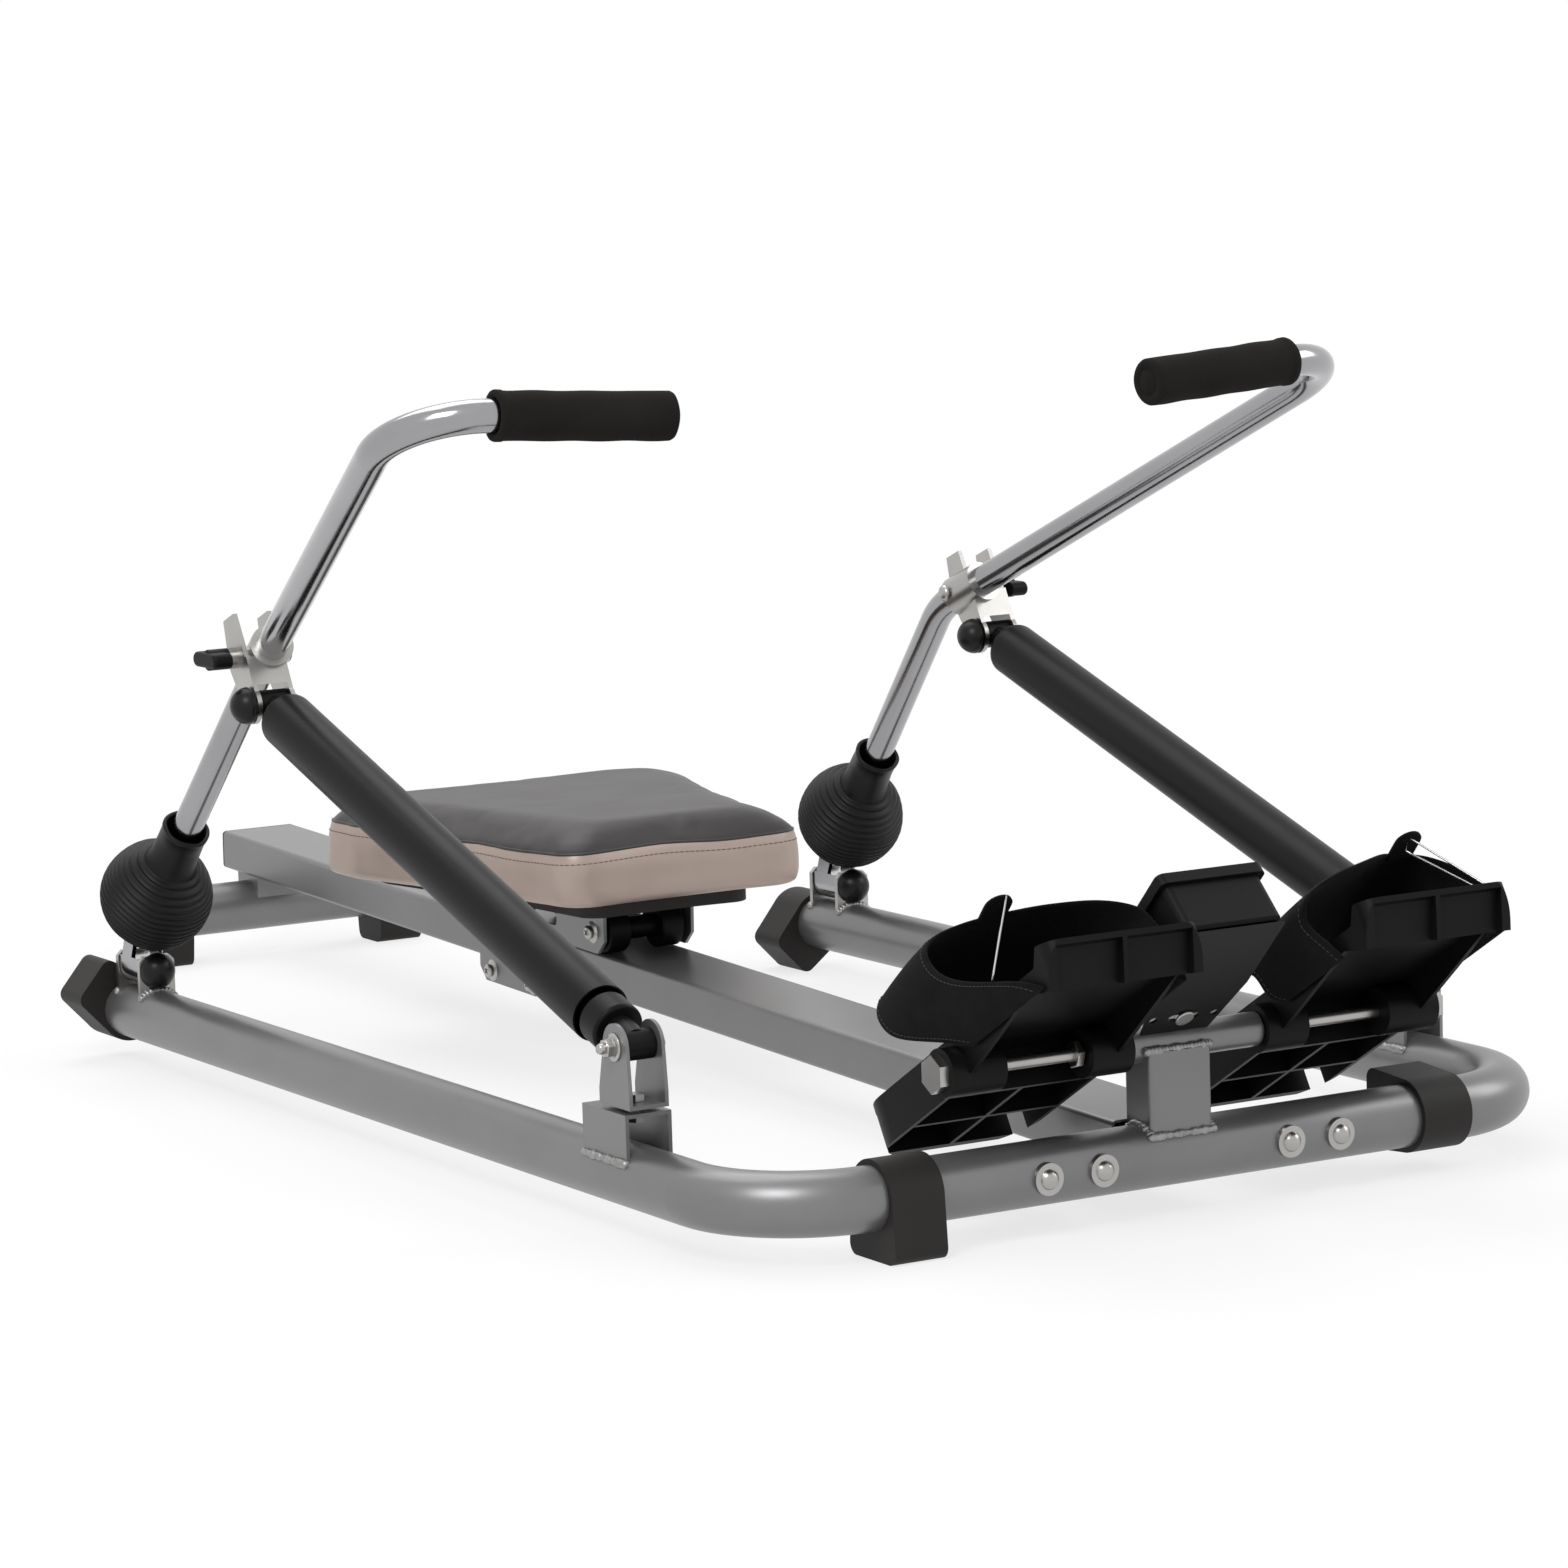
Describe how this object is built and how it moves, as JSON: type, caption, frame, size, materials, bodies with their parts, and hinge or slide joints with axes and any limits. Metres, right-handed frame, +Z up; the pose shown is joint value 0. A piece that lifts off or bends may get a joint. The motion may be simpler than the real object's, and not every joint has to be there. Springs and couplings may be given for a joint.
{
  "type": "hydraulic rowing machine",
  "caption": "Home rowing trainer: sliding padded seat on a rail, swivelling oars on telescopic hydraulic dampers, pedals with straps and a small console.",
  "frame": {"origin": "middle of the bounding box, on the floor", "axes": "+Y from the footrests to the rear end of the rail, +X to the right as seen from the footrests, +Z up"},
  "size_m": [0.9132, 1.7552, 0.6379],
  "materials": {
    "silver_paint": "satin silver-grey coat",
    "zinc": "bright zinc",
    "chrome": "polished",
    "black_paint": "satin black coat",
    "black_plastic": "moulded, fine grain",
    "roller_plastic": "moulded rollers",
    "rubber": "soft moulded rubber",
    "foam": "closed-cell foam",
    "webbing": "moulded strap",
    "vinyl": "upholstery vinyl over foam",
    "board": "plywood",
    "lens": "clear window"
  },
  "bodies": {
    "frame": {"side_tube_left": "silver_paint", "side_tube_right": "silver_paint", "front_tube": "silver_paint", "frame_bolts": "zinc", "front_feet": "black_plastic", "rear_caps": "black_plastic", "stabilizer_caps": "black_plastic", "rail": "silver_paint", "rail_end_cap": "black_plastic", "stabilizer_tube": "silver_paint", "footrest_post": "silver_paint", "pedal_tube": "silver_paint", "axle_bushings": "zinc", "pedal_axle": "zinc", "console_case": "black_plastic", "console_lens": "lens", "console_bracket": "black_paint", "console_bolt": "zinc", "oar_brackets": "zinc", "tilt_bolts": "zinc", "base_domes": "black_plastic", "damper_brackets": "zinc", "swivel_bolts": "zinc"},
    "button": {"console_button": "black_plastic"},
    "seat": {"seat_cushion": "vinyl", "seat_board": "board", "carriage": "silver_paint", "roller_axles": "zinc"},
    "rollers_front": {"front_rollers": "roller_plastic"},
    "rollers_rear": {"rear_rollers": "roller_plastic"},
    "guide_front": {"guide_roller_front": "roller_plastic"},
    "guide_rear": {"guide_roller_rear": "roller_plastic"},
    "pedal_left": {"pedal_left": "black_plastic", "strap_left": "webbing", "buckle_left": "chrome"},
    "yoke_left": {"yoke_left": "chrome"},
    "oar_left": {"oar_left": "chrome", "grip_left": "foam", "bellows_left": "rubber", "clamp_left": "zinc", "upper_pin_left": "zinc"},
    "knob_left": {"knob_left": "black_plastic"},
    "sleeve_left": {"sleeve_left": "black_paint"},
    "clevis_left": {"clevis_left": "zinc", "lower_pin_left": "zinc"},
    "damper_left": {"damper_left": "black_paint"},
    "pedal_right": {"pedal_right": "black_plastic", "strap_right": "webbing", "buckle_right": "chrome"},
    "yoke_right": {"yoke_right": "chrome"},
    "oar_right": {"oar_right": "chrome", "grip_right": "foam", "bellows_right": "rubber", "clamp_right": "zinc", "upper_pin_right": "zinc"},
    "knob_right": {"knob_right": "black_plastic"},
    "sleeve_right": {"sleeve_right": "black_paint"},
    "clevis_right": {"clevis_right": "zinc", "lower_pin_right": "zinc"},
    "damper_right": {"damper_right": "black_paint"}
  },
  "joints": [
    {"name": "seat_slide", "type": "slide", "parent": "frame", "child": "seat", "axis": [0, 0.9995, 0.031], "range_m": [-0.48, 0.49]},
    {"name": "button_press", "type": "slide", "parent": "frame", "child": "button", "axis": [0, -0.7133, -0.7009], "range_m": [0, 0.001], "stiffness_N_per_m": 300, "springref_m": -0.001},
    {"name": "roller_spin_front", "type": "hinge", "parent": "seat", "child": "rollers_front", "pos_m": [0, 0.0833, 0.11869], "axis": [1, 0, 0], "continuous": true},
    {"name": "roller_spin_rear", "type": "hinge", "parent": "seat", "child": "rollers_rear", "pos_m": [0, 0.2633, 0.12427], "axis": [1, 0, 0], "continuous": true},
    {"name": "guide_spin_front", "type": "hinge", "parent": "seat", "child": "guide_front", "pos_m": [0, 0.2013, 0.05635], "axis": [1, 0, 0], "continuous": true},
    {"name": "guide_spin_rear", "type": "hinge", "parent": "seat", "child": "guide_rear", "pos_m": [0, 0.2793, 0.05877], "axis": [1, 0, 0], "continuous": true},
    {"name": "pedal_swing_left", "type": "hinge", "parent": "frame", "child": "pedal_left", "pos_m": [-0.1225, -0.7487, 0.133], "axis": [1, 0, 0], "range_deg": [-8, 20]},
    {"name": "oar_sweep_left", "type": "hinge", "parent": "frame", "child": "yoke_left", "pos_m": [-0.365, 0.3403, 0.09], "axis": [0, 1, 0], "range_deg": [-5, 5]},
    {"name": "oar_pull_left", "type": "hinge", "parent": "yoke_left", "child": "oar_left", "pos_m": [-0.365, 0.3293, 0.1394], "axis": [-1, 0, 0], "range_deg": [0, 25]},
    {"name": "knob_turn_left", "type": "hinge", "parent": "oar_left", "child": "knob_left", "pos_m": [-0.365, 0.0833, 0.392], "axis": [1, 0, 0], "range_deg": [-180, 180]},
    {"name": "sleeve_pivot_left", "type": "hinge", "parent": "oar_left", "child": "sleeve_left", "pos_m": [-0.365, 0.0523, 0.354], "axis": [-1, 0, 0], "range_deg": [-30, 0.5]},
    {"name": "clevis_swivel_left", "type": "hinge", "parent": "frame", "child": "clevis_left", "pos_m": [-0.365, -0.5687, 0.1023], "axis": [0, 0, 1], "range_deg": [-2.5, 2.5]},
    {"name": "damper_pivot_left", "type": "hinge", "parent": "clevis_left", "child": "damper_left", "pos_m": [-0.365, -0.5687, 0.1486], "axis": [-1, 0, 0], "range_deg": [-5, 0.5]},
    {"name": "pedal_swing_right", "type": "hinge", "parent": "frame", "child": "pedal_right", "pos_m": [0.1625, -0.7487, 0.133], "axis": [1, 0, 0], "range_deg": [-8, 20]},
    {"name": "oar_sweep_right", "type": "hinge", "parent": "frame", "child": "yoke_right", "pos_m": [0.365, 0.3403, 0.09], "axis": [0, 1, 0], "range_deg": [-5, 5]},
    {"name": "oar_pull_right", "type": "hinge", "parent": "yoke_right", "child": "oar_right", "pos_m": [0.365, 0.3293, 0.1394], "axis": [-1, 0, 0], "range_deg": [0, 25]},
    {"name": "knob_turn_right", "type": "hinge", "parent": "oar_right", "child": "knob_right", "pos_m": [0.365, 0.0833, 0.392], "axis": [1, 0, 0], "range_deg": [-180, 180]},
    {"name": "sleeve_pivot_right", "type": "hinge", "parent": "oar_right", "child": "sleeve_right", "pos_m": [0.365, 0.0523, 0.354], "axis": [-1, 0, 0], "range_deg": [-30, 0.5]},
    {"name": "clevis_swivel_right", "type": "hinge", "parent": "frame", "child": "clevis_right", "pos_m": [0.365, -0.5687, 0.1023], "axis": [0, 0, 1], "range_deg": [-2.5, 2.5]},
    {"name": "damper_pivot_right", "type": "hinge", "parent": "clevis_right", "child": "damper_right", "pos_m": [0.365, -0.5687, 0.1486], "axis": [-1, 0, 0], "range_deg": [-5, 0.5]}
  ],
  "couplings": [
    {"joint": "roller_spin_front", "follows": "seat_slide", "rad_per_m": -49.261},
    {"joint": "roller_spin_rear", "follows": "seat_slide", "rad_per_m": -49.261},
    {"joint": "guide_spin_front", "follows": "seat_slide", "rad_per_m": 120.48},
    {"joint": "guide_spin_rear", "follows": "seat_slide", "rad_per_m": 120.48},
    {"joint": "sleeve_pivot_left", "follows": "oar_pull_left", "ratio": -1.1804},
    {"joint": "damper_pivot_left", "follows": "oar_pull_left", "ratio": -0.1804},
    {"joint": "clevis_swivel_left", "follows": "oar_sweep_left", "ratio": -0.42512},
    {"joint": "sleeve_pivot_right", "follows": "oar_pull_right", "ratio": -1.1804},
    {"joint": "damper_pivot_right", "follows": "oar_pull_right", "ratio": -0.1804},
    {"joint": "clevis_swivel_right", "follows": "oar_sweep_right", "ratio": -0.42512}
  ]
}
